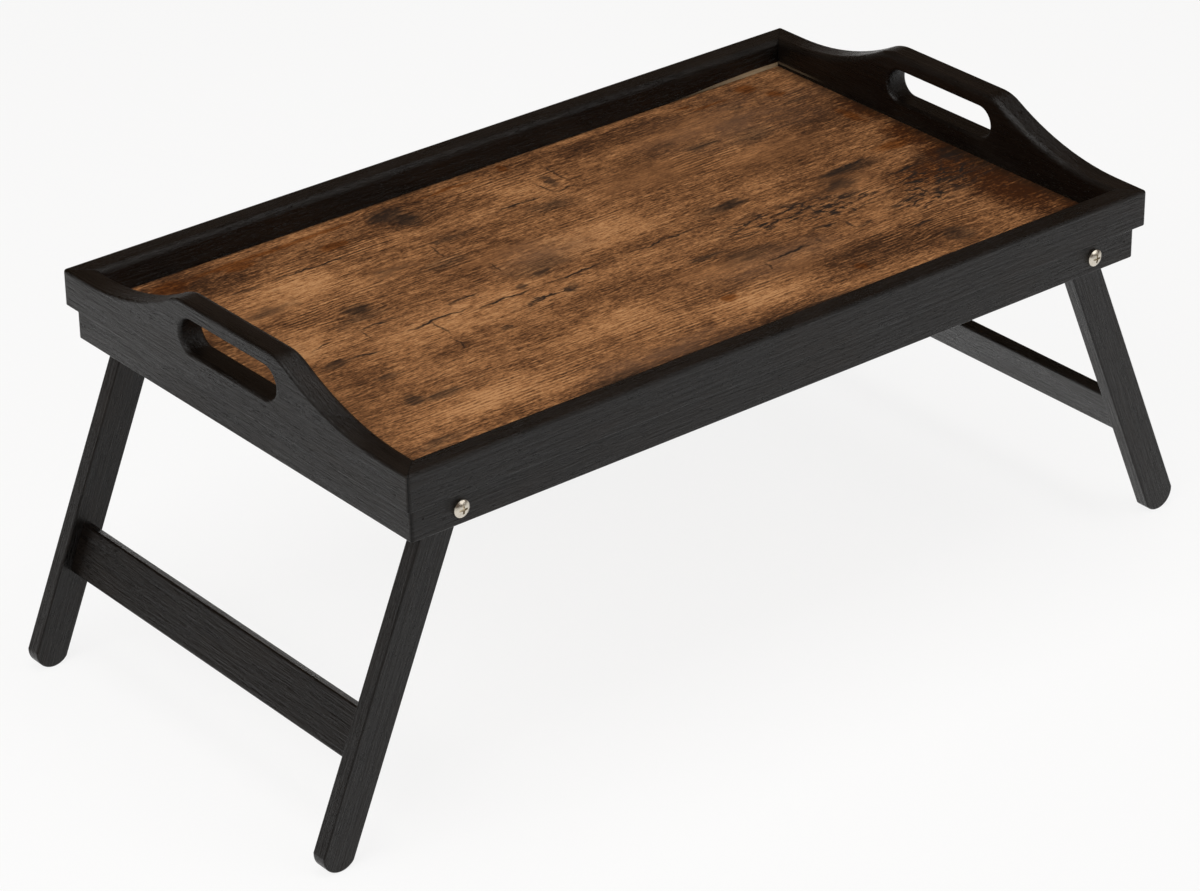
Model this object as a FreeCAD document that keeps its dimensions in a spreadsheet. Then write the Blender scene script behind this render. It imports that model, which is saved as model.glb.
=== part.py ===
"""Bed tray table: four mitred side boards round a laminated deck, on two folding leg frames.

Millimetres, +Z up. The origin is on the floor under the tray's centre, X runs along the long
rails and the front rail faces -Y. The legs are drawn open, which is the rest pose.
"""
import FreeCAD
import Part
import math
import os
import Sketcher

Vector = FreeCAD.Vector

# ---------------------------------------------------------------- driving dimensions
SIZES = {
    # tray boards
    "tray_length": 500.0,         # rim, outside, along X
    "tray_width": 300.0,          # rim, outside, along Y
    "board_height": 40.0,         # long rails, bottom edge to rim top
    "board_thickness": 14.5,      # rim part of every side board
    "band_inset": 4.3,            # how far the lower band stands back from the rim
    "band_height": 19.2,          # lower band, from the bottom edge up
    "rim_round": 3.5,             # rounding of the rim's inner top edge
    "rim_arris": 1.6,             # rounding of the rim's outer top edge
    "corner_round": 2.0,          # rounding of the outer upright corners
    "edge_ease": 0.8,             # easing of the lower outer edges
    # end panels
    "handle_rise": 23.0,          # top of the grip above the rim
    "handle_flat": 76.0,          # straight stretch on top of the grip
    "rim_ledge": 21.3854,         # level rim beside the corner; the hollow fills the rest
    "crown_radius": 27.0,         # convex sweep from the hollow into the grip
    "slot_length": 83.0,
    "slot_height": 18.5,
    "slot_cover": 9.0,            # wood left above the hand slot
    "slot_round": 2.2,            # rounding of the slot's edges
    # deck
    "deck_depth": 16.0,           # deck surface below the rim top
    "core_thickness": 2.6,
    "laminate_thickness": 0.6,
    "groove_depth": 5.0,
    "groove_clearance": 0.2,      # deck board to groove, at the top face and at each edge
    "laminate_gap": 0.3,          # printed sheet to the boards' inner faces
    # legs
    "leg_length": 200.0,          # pivot to foot tip
    "leg_width": 20.0,
    "leg_thickness": 9.5,
    "leg_ease": 0.9,
    "foot_swell": 0.5,            # foot's radius beyond half the leg's width
    "splay": 22.5,                # degrees from upright when open
    "heel_flat": 4.0,             # bearing flat that meets the deck's underside
    "top_swell": 0.8,             # rounded leg top's radius beyond half the leg's width
    "heel_gap": 1.0,              # clearance of the rounded leg top as it swings under the deck
    "pivot_inset": 34.4,          # rim end to pivot axis
    # cross bars
    "bar_width": 27.5,
    "bar_thickness": 7.0,
    "bar_drop": 130.3,            # pivot to bar centre, along the leg
    "bar_ease": 1.2,
    "tenon_length": 5.0,
    "tenon_shoulder": 1.0,
    "mortise_clearance": 0.1,     # at the tenon's four sides
    "mortise_spare": 0.5,         # glue space past the tenon's end
    # pivot hardware
    "shank_diameter": 5.0,
    "shank_length": 30.0,
    "shank_chamfer": 0.6,
    "shank_clearance": 0.08,      # radial, in the rail and in the leg
    "head_diameter": 9.5,
    "head_height": 2.8,
    "head_rim": 1.2,              # upright edge under the dome
    "recess_span": 5.0,
    "recess_width": 1.2,
    "recess_depth": 1.7,
    "spacer_diameter": 12.0,
    "spacer_thickness": 0.5,
    "washer_diameter": 10.0,
    "washer_thickness": 1.0,
    "nut_flats": 8.0,
    "nut_height": 3.6,            # the hexagon
    "collar_diameter": 7.2,       # round collar that holds the nylon ring
    "collar_height": 1.4,
    "ring_wall": 0.8,
    "thread_clearance": 0.02,
    # brads
    "brad_diameter": 1.3,
    "brad_length": 16.0,
    "brad_clearance": 0.02,
    "brad_edge": 3.2,             # pair through the end panel: band corner to the outer brad
    "brad_pitch": 3.6,            # between the two brads of the pair
    "brad_rise": 9.0,             # above the boards' bottom edge
    "cross_brad_edge": 7.2,       # single brad through the rail: band corner to its middle
    "cross_brad_rise": 11.2,
    # shop value
    "cut_margin": 2.0,            # how far a cutting outline runs past what it cuts
}

# Sizes that follow from the driving ones. Each is written as a formula in the sheet.
DERIVED = {
    "half_length": "tray_length / 2",
    "half_width": "tray_width / 2",
    "leg_half": "leg_width / 2",
    "foot_radius": "leg_half + foot_swell",
    "foot_centre": "leg_length - foot_radius",
    "pivot_height": "foot_centre * cos(splay) + foot_radius",
    "swing_radius": "leg_half + top_swell",
    "heel_height": "swing_radius + heel_gap",
    "deck_thickness": "core_thickness + laminate_thickness",
    "groove_floor": "board_height - deck_depth - deck_thickness",
    "pivot_rise": "groove_floor - heel_height",
    "board_bottom": "pivot_height - pivot_rise",
    "grip_top": "board_height + handle_rise",
    "grip_half": "handle_flat / 2",
    "sweep_run": "half_width - rim_ledge - grip_half",
    "hollow_radius": "(sweep_run ^ 2 + handle_rise ^ 2) / (2 * handle_rise) - crown_radius",
    "groove_roof": "groove_floor + core_thickness + groove_clearance",
    "groove_back": "board_thickness - groove_depth",
    "deck_underside": "board_bottom + groove_floor",
    "laminate_underside": "deck_underside + core_thickness",
    "deck_length": "tray_length - 2 * (groove_back + groove_clearance)",
    "deck_width": "tray_width - 2 * (groove_back + groove_clearance)",
    "laminate_length": "tray_length - 2 * (board_thickness + laminate_gap)",
    "laminate_width": "tray_width - 2 * (board_thickness + laminate_gap)",
    "slot_radius": "slot_height / 2",
    "slot_reach": "slot_length / 2 - slot_radius",
    "slot_level": "grip_top - slot_cover - slot_radius",
    "band_face": "half_width - band_inset",
    "rail_inner": "half_width - board_thickness",
    "leg_face": "rail_inner - spacer_thickness",
    "leg_inner": "leg_face - leg_thickness",
    "pivot_x": "half_length - pivot_inset",
    "pivot_bore": "shank_diameter / 2 + shank_clearance",
    "bar_x": "pivot_x + bar_drop * sin(splay)",
    "bar_height": "pivot_height - bar_drop * cos(splay)",
    "bar_span": "2 * leg_inner",
    "tenon_span": "bar_span + 2 * tenon_length",
    "bar_half_thickness": "bar_thickness / 2",
    "bar_half_width": "bar_width / 2",
    "tenon_half_thickness": "bar_half_thickness - tenon_shoulder",
    "tenon_half_width": "bar_half_width - tenon_shoulder",
    "mortise_half": "tenon_half_thickness + mortise_clearance",
    "mortise_high": "bar_drop - tenon_half_width - mortise_clearance",
    "mortise_low": "bar_drop + tenon_half_width + mortise_clearance",
    "mortise_depth": "tenon_length + mortise_spare",
    "cut_through": "2 * tray_length",
    "board_back": "board_thickness + cut_margin",
    "rail_mitre_tip": "half_length + cut_margin",
    "rail_mitre_root": "half_length - board_thickness - cut_margin",
    "end_mitre_tip": "half_width + cut_margin",
    "end_mitre_root": "half_width - board_thickness - cut_margin",
    "band_end": "half_length - band_inset",
    "heel_edge": "(heel_height - leg_half * sin(splay)) / cos(splay)",
    "heel_inner_x": "leg_half - heel_flat * cos(splay)",
    "heel_inner_z": "heel_edge + heel_flat * sin(splay)",
    "foot_shoulder": "foot_centre + sqrt(foot_radius ^ 2 - leg_half ^ 2)",
    "spacer_radius": "spacer_diameter / 2",
    "washer_radius": "washer_diameter / 2",
    "nut_face": "leg_inner - washer_thickness",
    "nut_half": "nut_flats / 2",
    "nut_corner": "nut_half / cos(30)",
    "nut_corner_half": "nut_corner / 2",
    "nut_bore": "shank_diameter / 2 + thread_clearance",
    "collar_radius": "collar_diameter / 2",
    "collar_top": "nut_height + collar_height",
    "ring_radius": "nut_bore + ring_wall",
    "ring_face": "nut_face - nut_height",
    "shank_radius": "shank_diameter / 2",
    "shank_tip": "shank_radius - shank_chamfer",
    "shank_shoulder": "shank_length - shank_chamfer",
    "head_radius": "head_diameter / 2",
    "dome_rise": "head_height - head_rim",
    "dome_radius": "(head_radius ^ 2 + dome_rise ^ 2) / (2 * dome_rise)",
    "recess_half": "recess_span / 2",
    "recess_side": "recess_width / 2",
    "brad_radius": "brad_diameter / 2",
    "brad_hole": "brad_radius + brad_clearance",
    "brad_level": "board_bottom + brad_rise",
    "cross_brad_level": "board_bottom + cross_brad_rise",
    "outer_brad_y": "band_face - brad_edge",
    "inner_brad_y": "outer_brad_y - brad_pitch",
    "cross_brad_x": "band_end - cross_brad_edge",
}

SHEET = "sizes"
LEAST_CUT = 1e-6                  # mm3, below which a cut has missed
SAME_PLACE = 0.01                 # mm, within which two places count as one

ENDS = {"left": -1, "right": 1}
SIDES = {"front": -1, "back": 1}

doc = FreeCAD.newDocument("bed_tray_table")


def make_sheet():
    """The sheet of driving sizes, followed by the sizes worked out from them."""
    sheet = doc.addObject("Spreadsheet::Sheet", SHEET)
    rows = [(name, str(number)) for name, number in SIZES.items()]
    rows += [(name, "=" + formula) for name, formula in DERIVED.items()]
    for row, (name, text) in enumerate(rows, start=1):
        sheet.set("A%d" % row, name)
        sheet.set("B%d" % row, text)
        sheet.setAlias("B%d" % row, name)
    doc.recompute()
    return sheet


sheet = make_sheet()


def size(name):
    """A size's number; a leading minus turns its sign."""
    if name.startswith("-"):
        return -size(name[1:])
    return 0.0 if name == "zero" else float(getattr(sheet, name))


def cell(name):
    """The same size as an expression for setExpression."""
    if name.startswith("-"):
        return "-" + cell(name[1:])
    return "%s.%s" % (SHEET, name)


def signed(sign, name):
    """The size's name, with a minus where the sign is negative."""
    return name if sign > 0 else "-" + name


# ---------------------------------------------------------------- sketch helpers
def plane_sketch(body, role, name):
    """A sketch on one of the body's own origin planes."""
    sketch = body.newObject("Sketcher::SketchObject", name)
    plane = [item for item in body.Origin.OriginFeatures if item.Role == role][0]
    sketch.AttachmentSupport = [(plane, "")]
    sketch.MapMode = "FlatFace"
    return sketch


def bind(sketch, constraint, name):
    """Adds a measured constraint and ties it to the sheet."""
    index = sketch.addConstraint(constraint)
    sketch.setExpression("Constraints[%d]" % index, cell(name))


def fix_point(sketch, edge, end, across, along):
    """Places one end of an edge by two named sizes; zero puts it on the axis."""
    for kind, name, axis in (("DistanceX", across, -2), ("DistanceY", along, -1)):
        if name == "zero":
            sketch.addConstraint(Sketcher.Constraint("PointOnObject", edge, end, axis))
        else:
            bind(sketch, Sketcher.Constraint(kind, -1, 1, edge, end, size(name)), name)


def polygon(sketch, corners):
    """A closed outline of straight edges through corners given by named sizes."""
    places = [Vector(size(across), size(along), 0) for across, along in corners]
    count = len(places)
    edges = [sketch.addGeometry(Part.LineSegment(places[i], places[(i + 1) % count]))
             for i in range(count)]
    for i in range(count):
        sketch.addConstraint(Sketcher.Constraint("Coincident", edges[i], 2, edges[(i + 1) % count], 1))
    for edge, (across, along) in zip(edges, corners):
        fix_point(sketch, edge, 1, across, along)


def rectangle(sketch, half_wide, low, high):
    """A rectangle centred on the sketch's upright axis."""
    polygon(sketch, [("-" + half_wide, low), (half_wide, low), (half_wide, high), ("-" + half_wide, high)])


def pad(body, sketch, name, length, symmetric=False, reverse=False):
    """Raises the sketch into a solid, to one side or evenly to both."""
    feature = body.newObject("PartDesign::Pad", name)
    feature.Profile = sketch
    feature.SideType = "Symmetric" if symmetric else "One side"
    feature.Reversed = reverse
    feature.Length = size(length)
    feature.setExpression("Length", cell(length))
    doc.recompute()


def pocket(body, sketch, name, depth=None, reverse=False):
    """Cuts the sketch out of the body, right through both ways if no depth is named."""
    before = body.Shape.Volume
    feature = body.newObject("PartDesign::Pocket", name)
    feature.Profile = sketch
    feature.SideType = "One side" if depth else "Symmetric"
    feature.Reversed = reverse
    feature.Type = "Length"
    feature.Length = size(depth or "cut_through")
    feature.setExpression("Length", cell(depth or "cut_through"))
    doc.recompute()
    if body.Shape.Volume >= before - LEAST_CUT:
        raise RuntimeError("%s cuts nothing from %s" % (name, body.Label))


def edges_where(shape, test):
    """The names of the edges that pass the test."""
    return ["Edge%d" % (i + 1) for i, edge in enumerate(shape.Edges) if test(edge)]


def fillet(body, name, radius, test):
    """Rounds the edges that pass the test."""
    names = edges_where(body.Shape, test)
    if not names:
        raise RuntimeError("%s finds no edge on %s" % (name, body.Label))
    base = body.Tip
    feature = body.newObject("PartDesign::Fillet", name)
    feature.Base = (base, names)
    feature.Radius = size(radius)
    feature.setExpression("Radius", cell(radius))
    doc.recompute()
    if body.Shape.isNull() or near(body.Shape.Volume, base.Shape.Volume, LEAST_CUT):
        raise RuntimeError("%s rounds nothing on %s" % (name, body.Label))


def near(value, target, reach=SAME_PLACE):
    """Whether two numbers agree."""
    return abs(value - target) < reach


def lies_at(edge, **places):
    """Whether the whole edge lies at the given x, y or z."""
    box = edge.BoundBox
    for axis, target in places.items():
        low = getattr(box, axis.upper() + "Min")
        high = getattr(box, axis.upper() + "Max")
        if not (near(low, target) and near(high, target)):
            return False
    return True


def new_body(label):
    body = doc.addObject("PartDesign::Body", label)
    body.Label = label
    return body


def place(item, x, y, z, axis, turn):
    """Puts a sub-part at named sizes, turned about one axis by degrees or by a named angle."""
    named = isinstance(turn, str)
    degrees = size(turn) if named else turn
    item.Placement = FreeCAD.Placement(Vector(), FreeCAD.Rotation(axis, degrees))
    if named:
        item.setExpression("Placement.Rotation.Angle", cell(turn))
    for letter, name in (("x", x), ("y", y), ("z", z)):
        if name != "zero":
            item.setExpression("Placement.Base." + letter, cell(name))


# ---------------------------------------------------------------- side boards
# A board is drawn along X with its outer face on y = 0 and its bottom edge on z = 0.
def arc(sketch, centre, start, end):
    """An arc drawn anticlockwise from start to end."""
    circle = Part.Circle(centre, Vector(0, 0, 1), (start - centre).Length)
    first = math.atan2(start.y - centre.y, start.x - centre.x)
    last = math.atan2(end.y - centre.y, end.x - centre.x)
    if last < first:
        last += 2 * math.pi
    return sketch.addGeometry(Part.ArcOfCircle(circle, first, last))


def join(sketch, kind, edge_a, end_a, edge_b, end_b):
    sketch.addConstraint(Sketcher.Constraint(kind, edge_a, end_a, edge_b, end_b))


def grip_outline(sketch):
    """The end panel's face: rim height at the ends, swept up to the grip in the middle."""
    half, rim = size("half_width"), size("board_height")
    top, flat = size("grip_top"), size("grip_half")
    hollow, crown = size("hollow_radius"), size("crown_radius")
    run = size("sweep_run")
    bottom = sketch.addGeometry(Part.LineSegment(Vector(-half, 0, 0), Vector(half, 0, 0)))
    flat_top = sketch.addGeometry(Part.LineSegment(Vector(-flat, top, 0), Vector(flat, top, 0)))
    fix_point(sketch, bottom, 1, "-half_width", "zero")
    fix_point(sketch, bottom, 2, "half_width", "zero")
    fix_point(sketch, flat_top, 1, "-grip_half", "grip_top")
    fix_point(sketch, flat_top, 2, "grip_half", "grip_top")
    for way, near_end in ((-1, 1), (1, 2)):
        crown_centre = Vector(way * flat, top - crown, 0)
        hollow_centre = Vector(way * (flat + run), rim + hollow, 0)
        meet = crown_centre + (hollow_centre - crown_centre) * (crown / (crown + hollow))
        crest = Vector(way * flat, top, 0)
        foot = Vector(way * (flat + run), rim, 0)
        corner = Vector(way * half, rim, 0)
        upright = sketch.addGeometry(Part.LineSegment(Vector(way * half, 0, 0), corner))
        ledge = sketch.addGeometry(Part.LineSegment(corner, foot))
        if way > 0:
            hollow_arc = arc(sketch, hollow_centre, meet, foot)
            crown_arc = arc(sketch, crown_centre, meet, crest)
            foot_end, meet_hollow, meet_crown, crest_end = 2, 1, 1, 2
        else:
            hollow_arc = arc(sketch, hollow_centre, foot, meet)
            crown_arc = arc(sketch, crown_centre, crest, meet)
            foot_end, meet_hollow, meet_crown, crest_end = 1, 2, 2, 1
        join(sketch, "Coincident", upright, 1, bottom, near_end)
        join(sketch, "Coincident", ledge, 1, upright, 2)
        sketch.addConstraint(Sketcher.Constraint("Vertical", upright))
        sketch.addConstraint(Sketcher.Constraint("Horizontal", ledge))
        bind(sketch, Sketcher.Constraint("DistanceY", upright, rim), "board_height")
        join(sketch, "Tangent", hollow_arc, foot_end, ledge, 2)
        join(sketch, "Tangent", hollow_arc, meet_hollow, crown_arc, meet_crown)
        join(sketch, "Tangent", crown_arc, crest_end, flat_top, near_end)
        bind(sketch, Sketcher.Constraint("Radius", hollow_arc, hollow), "hollow_radius")
        bind(sketch, Sketcher.Constraint("Radius", crown_arc, crown), "crown_radius")


def slot_outline(sketch):
    """The hand slot: two half rounds joined by straight sides."""
    reach, radius, level = size("slot_reach"), size("slot_radius"), size("slot_level")
    low, high = level - radius, level + radius
    left = arc(sketch, Vector(-reach, level, 0), Vector(-reach, high, 0), Vector(-reach, low, 0))
    right = arc(sketch, Vector(reach, level, 0), Vector(reach, low, 0), Vector(reach, high, 0))
    roof = sketch.addGeometry(Part.LineSegment(Vector(reach, high, 0), Vector(-reach, high, 0)))
    floor = sketch.addGeometry(Part.LineSegment(Vector(-reach, low, 0), Vector(reach, low, 0)))
    join(sketch, "Tangent", right, 2, roof, 1)
    join(sketch, "Tangent", roof, 2, left, 1)
    join(sketch, "Tangent", left, 2, floor, 1)
    join(sketch, "Tangent", floor, 2, right, 1)
    for side, reach_name in ((left, "-slot_reach"), (right, "slot_reach")):
        fix_point(sketch, side, 3, reach_name, "slot_level")
    bind(sketch, Sketcher.Constraint("Radius", left, radius), "slot_radius")


def board_blank(label, half, mitre_tip, mitre_root, band_half, outline, has_slot):
    """One side board with its band, deck groove, roundings and mitred ends."""
    body = new_body(label)
    face = plane_sketch(body, "XZ_Plane", label + "_face")
    outline(face)
    pad(body, face, label + "_board", "board_thickness", reverse=True)

    # the lower band stands back at the outer face and at both ends
    band = plane_sketch(body, "XY_Plane", label + "_band_outline")
    polygon(band, [("-" + mitre_tip, "-cut_margin"), (mitre_tip, "-cut_margin"),
                   (mitre_tip, "board_back"), (band_half, "board_back"),
                   (band_half, "band_inset"), ("-" + band_half, "band_inset"),
                   ("-" + band_half, "board_back"), ("-" + mitre_tip, "board_back")])
    pocket(body, band, label + "_band", "band_height", reverse=True)

    end, inset, depth = size(half), size("band_inset"), size("board_thickness")
    band_end, step, rim = size(band_half), size("band_height"), size("board_height")

    def upright_corner(edge):
        box = edge.BoundBox
        upright = near(box.XMin, box.XMax) and near(box.YMin, box.YMax)
        at_rim = near(abs(box.XMin), end) and near(box.YMin, 0)
        at_band = near(abs(box.XMin), band_end) and near(box.YMin, inset)
        return upright and (at_rim or at_band)

    fillet(body, label + "_corners", "corner_round", upright_corner)

    groove = plane_sketch(body, "YZ_Plane", label + "_groove_outline")
    polygon(groove, [("groove_back", "groove_floor"), ("board_back", "groove_floor"),
                     ("board_back", "groove_roof"), ("groove_back", "groove_roof")])
    pocket(body, groove, label + "_groove")

    if has_slot:
        slot = plane_sketch(body, "XZ_Plane", label + "_slot_outline")
        slot_outline(slot)
        pocket(body, slot, label + "_slot")

    def above_rim(edge):
        return edge.BoundBox.ZMin > rim - SAME_PLACE

    def along_top(edge, face_y):
        return lies_at(edge, y=face_y) and above_rim(edge) and not in_slot(edge)

    def in_slot(edge):
        box = edge.BoundBox
        reach = size("slot_length") / 2 + SAME_PLACE
        roof = size("slot_level") + size("slot_radius") + SAME_PLACE
        flat_on_face = near(box.YMin, box.YMax) and (near(box.YMin, 0) or near(box.YMin, depth))
        inside = abs(box.XMin) < reach and abs(box.XMax) < reach and box.ZMax < roof
        return has_slot and flat_on_face and inside and box.ZMin > size("groove_roof")

    if has_slot:
        fillet(body, label + "_slot_edges", "slot_round", in_slot)
    fillet(body, label + "_inner_round", "rim_round", lambda edge: along_top(edge, depth))

    def outer_top(edge):
        box = edge.BoundBox
        round_corner = lies_at(edge, z=rim) and box.YMax < size("corner_round") + SAME_PLACE
        return along_top(edge, 0) or round_corner

    fillet(body, label + "_outer_arris", "rim_arris", outer_top)

    def lower_outer(edge):
        box = edge.BoundBox
        under_rim = lies_at(edge, z=step) and box.YMin < inset - SAME_PLACE
        under_band = lies_at(edge, z=0)
        reaches_back = near(box.YMax, depth)
        return (under_rim or under_band) and not reaches_back

    fillet(body, label + "_lower_edges", "edge_ease", lower_outer)

    for way, sign in (("left", "-"), ("right", "")):
        mitre = plane_sketch(body, "XY_Plane", "%s_%s_mitre_outline" % (label, way))
        polygon(mitre, [(sign + mitre_tip, "-cut_margin"), (sign + mitre_root, "board_back"),
                        (sign + mitre_tip, "board_back")])
        pocket(body, mitre, "%s_%s_mitre" % (label, way))
    return body


def rail_blank(label):
    """A long rail with its two pivot holes."""
    def outline(sketch):
        rectangle(sketch, "half_length", "zero", "board_height")

    body = board_blank(label, "half_length", "rail_mitre_tip", "rail_mitre_root", "band_end",
                       outline, has_slot=False)
    holes = plane_sketch(body, "XZ_Plane", label + "_pivot_outline")
    for sign in ("-", ""):
        centre = Vector(size(sign + "pivot_x"), size("pivot_rise"), 0)
        hole = holes.addGeometry(Part.Circle(centre, Vector(0, 0, 1), size("pivot_bore")))
        fix_point(holes, hole, 3, sign + "pivot_x", "pivot_rise")
        bind(holes, Sketcher.Constraint("Radius", hole, size("pivot_bore")), "pivot_bore")
    pocket(body, holes, label + "_pivots")
    return body


def end_blank(label):
    """An end panel with its raised grip and hand slot."""
    return board_blank(label, "half_width", "end_mitre_tip", "end_mitre_root", "band_face",
                       grip_outline, has_slot=True)


# ---------------------------------------------------------------- brads
def make_brads():
    """A pair of brads through each end panel and one through each rail, at every corner."""
    places = []
    for end in (-1, 1):
        for side in (-1, 1):
            for nth in ("outer", "inner"):
                places.append(("pair", end, side, "%s_brad_y" % nth))
            places.append(("cross", end, side, "cross_brad_x"))
    pins, holes = [], []
    for number, (kind, end, side, offset) in enumerate(places):
        for group, radius, prefix in ((pins, "brad_radius", "brad"), (holes, "brad_hole", "brad_hole")):
            pin = doc.addObject("Part::Cylinder", "%s_%d" % (prefix, number))
            pin.setExpression("Radius", cell(radius))
            pin.setExpression("Height", cell("brad_length"))
            if kind == "pair":
                place(pin, signed(end, "band_end"), signed(side, offset), "brad_level",
                      Vector(0, 1, 0), -90 * end)
            else:
                place(pin, signed(end, offset), signed(side, "band_face"), "cross_brad_level",
                      Vector(1, 0, 0), 90 * side)
            group.append(pin)
    brads = doc.addObject("Part::Compound", "corner_brads")
    brads.Links = pins
    tools = doc.addObject("Part::Compound", "brad_holes")
    tools.Links = holes
    doc.recompute()
    return brads, tools


def drilled(label, blank, tools):
    """The board with its brad holes."""
    board = doc.addObject("Part::Cut", label)
    board.Base = blank
    board.Tool = tools
    return board


# ---------------------------------------------------------------- deck
def deck_layer(label, length, width, thickness, underside):
    """One flat layer of the deck, centred on the tray."""
    layer = doc.addObject("Part::Box", label)
    layer.setExpression("Length", cell(length))
    layer.setExpression("Width", cell(width))
    layer.setExpression("Height", cell(thickness))
    layer.setExpression("Placement.Base.x", "-%s / 2" % cell(length))
    layer.setExpression("Placement.Base.y", "-%s / 2" % cell(width))
    layer.setExpression("Placement.Base.z", cell(underside))
    return layer


# ---------------------------------------------------------------- leg frames
# A leg is drawn upright with its pivot on the origin and its outer face on y = 0.
def leg_outline(sketch, handed):
    """Straight sides, a rounded foot, a rounded top and the heel flat on the outer side."""
    half, swing = size("leg_half"), size("swing_radius")
    foot, shoulder = size("foot_centre"), size("foot_shoulder")
    heel = Vector(-handed * half, size("heel_edge"), 0)
    lip = Vector(-handed * size("heel_inner_x"), size("heel_inner_z"), 0)
    turn = math.atan2(lip.y, lip.x) - handed * math.acos(swing / lip.Length)
    crest = Vector(swing * math.cos(turn), swing * math.sin(turn), 0)
    brow = Vector(handed * half, math.sqrt(swing ** 2 - half ** 2), 0)
    low_inner = Vector(handed * half, -shoulder, 0)
    low_outer = Vector(-handed * half, -shoulder, 0)

    flat = sketch.addGeometry(Part.LineSegment(heel, lip))
    bevel = sketch.addGeometry(Part.LineSegment(lip, crest))
    inner = sketch.addGeometry(Part.LineSegment(brow, low_inner))
    outer = sketch.addGeometry(Part.LineSegment(low_outer, heel))
    if handed > 0:
        top = arc(sketch, Vector(), brow, crest)
        brow_end, crest_end = 1, 2
        sole = arc(sketch, Vector(0, -foot, 0), low_outer, low_inner)
        outer_end, inner_end = 1, 2
    else:
        top = arc(sketch, Vector(), crest, brow)
        brow_end, crest_end = 2, 1
        sole = arc(sketch, Vector(0, -foot, 0), low_inner, low_outer)
        outer_end, inner_end = 2, 1
    join(sketch, "Coincident", flat, 2, bevel, 1)
    join(sketch, "Tangent", bevel, 2, top, crest_end)
    join(sketch, "Coincident", top, brow_end, inner, 1)
    join(sketch, "Coincident", inner, 2, sole, inner_end)
    join(sketch, "Coincident", sole, outer_end, outer, 1)
    join(sketch, "Coincident", outer, 2, flat, 1)
    join(sketch, "Coincident", top, 3, -1, 1)
    bind(sketch, Sketcher.Constraint("Radius", top, swing), "swing_radius")
    fix_point(sketch, sole, 3, "zero", "-foot_centre")
    bind(sketch, Sketcher.Constraint("Radius", sole, size("foot_radius")), "foot_radius")
    fix_point(sketch, flat, 1, signed(-handed, "leg_half"), "heel_edge")
    fix_point(sketch, flat, 2, signed(-handed, "heel_inner_x"), "heel_inner_z")
    sketch.addConstraint(Sketcher.Constraint("Vertical", outer))
    sketch.addConstraint(Sketcher.Constraint("Vertical", inner))
    reach = signed(handed, "leg_half")
    bind(sketch, Sketcher.Constraint("DistanceX", -1, 1, inner, 1, size(reach)), reach)


def splay_axis(end):
    """The axis about which a frame is turned out by the splay angle."""
    return Vector(0, -end, 0)


def make_leg(end_name, side_name):
    """One leg with its pivot bore and the blind mortise for its cross bar."""
    end, side = ENDS[end_name], SIDES[side_name]
    label = "%s_%s_leg" % (end_name, side_name)
    inward_is_front = side > 0
    body = new_body(label)
    face = plane_sketch(body, "XZ_Plane", label + "_face")
    leg_outline(face, handed=-end)
    pad(body, face, label + "_board", "leg_thickness", reverse=not inward_is_front)

    half, depth = size("leg_half"), size("leg_thickness")

    def long_edge(edge):
        box = edge.BoundBox
        on_face = near(box.YMin, box.YMax) and (near(box.YMin, 0) or near(abs(box.YMin), depth))
        is_side = near(abs(box.XMin), half) and near(box.XMin, box.XMax)
        is_sole = box.ZMax < -size("foot_centre")
        return on_face and (is_side or is_sole)

    fillet(body, label + "_eased", "leg_ease", long_edge)

    hole = plane_sketch(body, "XZ_Plane", label + "_pivot_outline")
    circle = hole.addGeometry(Part.Circle(Vector(), Vector(0, 0, 1), size("pivot_bore")))
    join(hole, "Coincident", circle, 3, -1, 1)
    bind(hole, Sketcher.Constraint("Radius", circle, size("pivot_bore")), "pivot_bore")
    pocket(body, hole, label + "_pivot")

    mortise = plane_sketch(body, "XZ_Plane", label + "_mortise_outline")
    rectangle(mortise, "mortise_half", "-mortise_low", "-mortise_high")
    inner_face = "leg_thickness" if inward_is_front else "-leg_thickness"
    mortise.setExpression("AttachmentOffset.Base.z", cell(inner_face))
    doc.recompute()
    pocket(body, mortise, label + "_mortise", "mortise_depth", reverse=not inward_is_front)

    place(body, signed(end, "pivot_x"), signed(side, "leg_face"), "pivot_height",
          splay_axis(end), "splay")
    return body


def make_bar(end_name):
    """The cross bar between two legs, with a stub tenon at each end."""
    end = ENDS[end_name]
    label = end_name + "_cross_bar"
    body = new_body(label)
    section = plane_sketch(body, "XZ_Plane", label + "_section")
    rectangle(section, "bar_half_thickness", "-bar_half_width", "bar_half_width")
    pad(body, section, label + "_bar", "bar_span", symmetric=True)
    span = size("bar_span")
    fillet(body, label + "_eased", "bar_ease", lambda edge: near(edge.Length, span))
    tenon = plane_sketch(body, "XZ_Plane", label + "_tenon_section")
    rectangle(tenon, "tenon_half_thickness", "-tenon_half_width", "tenon_half_width")
    pad(body, tenon, label + "_tenons", "tenon_span", symmetric=True)
    place(body, signed(end, "bar_x"), "zero", "bar_height", splay_axis(end), "splay")
    return body


# ---------------------------------------------------------------- pivot hardware
# Screw, washer and nut are drawn along Z with the head's underside, or the face that bears
# outward, on z = 0. Turned about X, +Z points out of the tray.
def outward(side):
    """The turn about X that points +Z out of the tray at the front or back."""
    return 90 if side < 0 else -90


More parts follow.
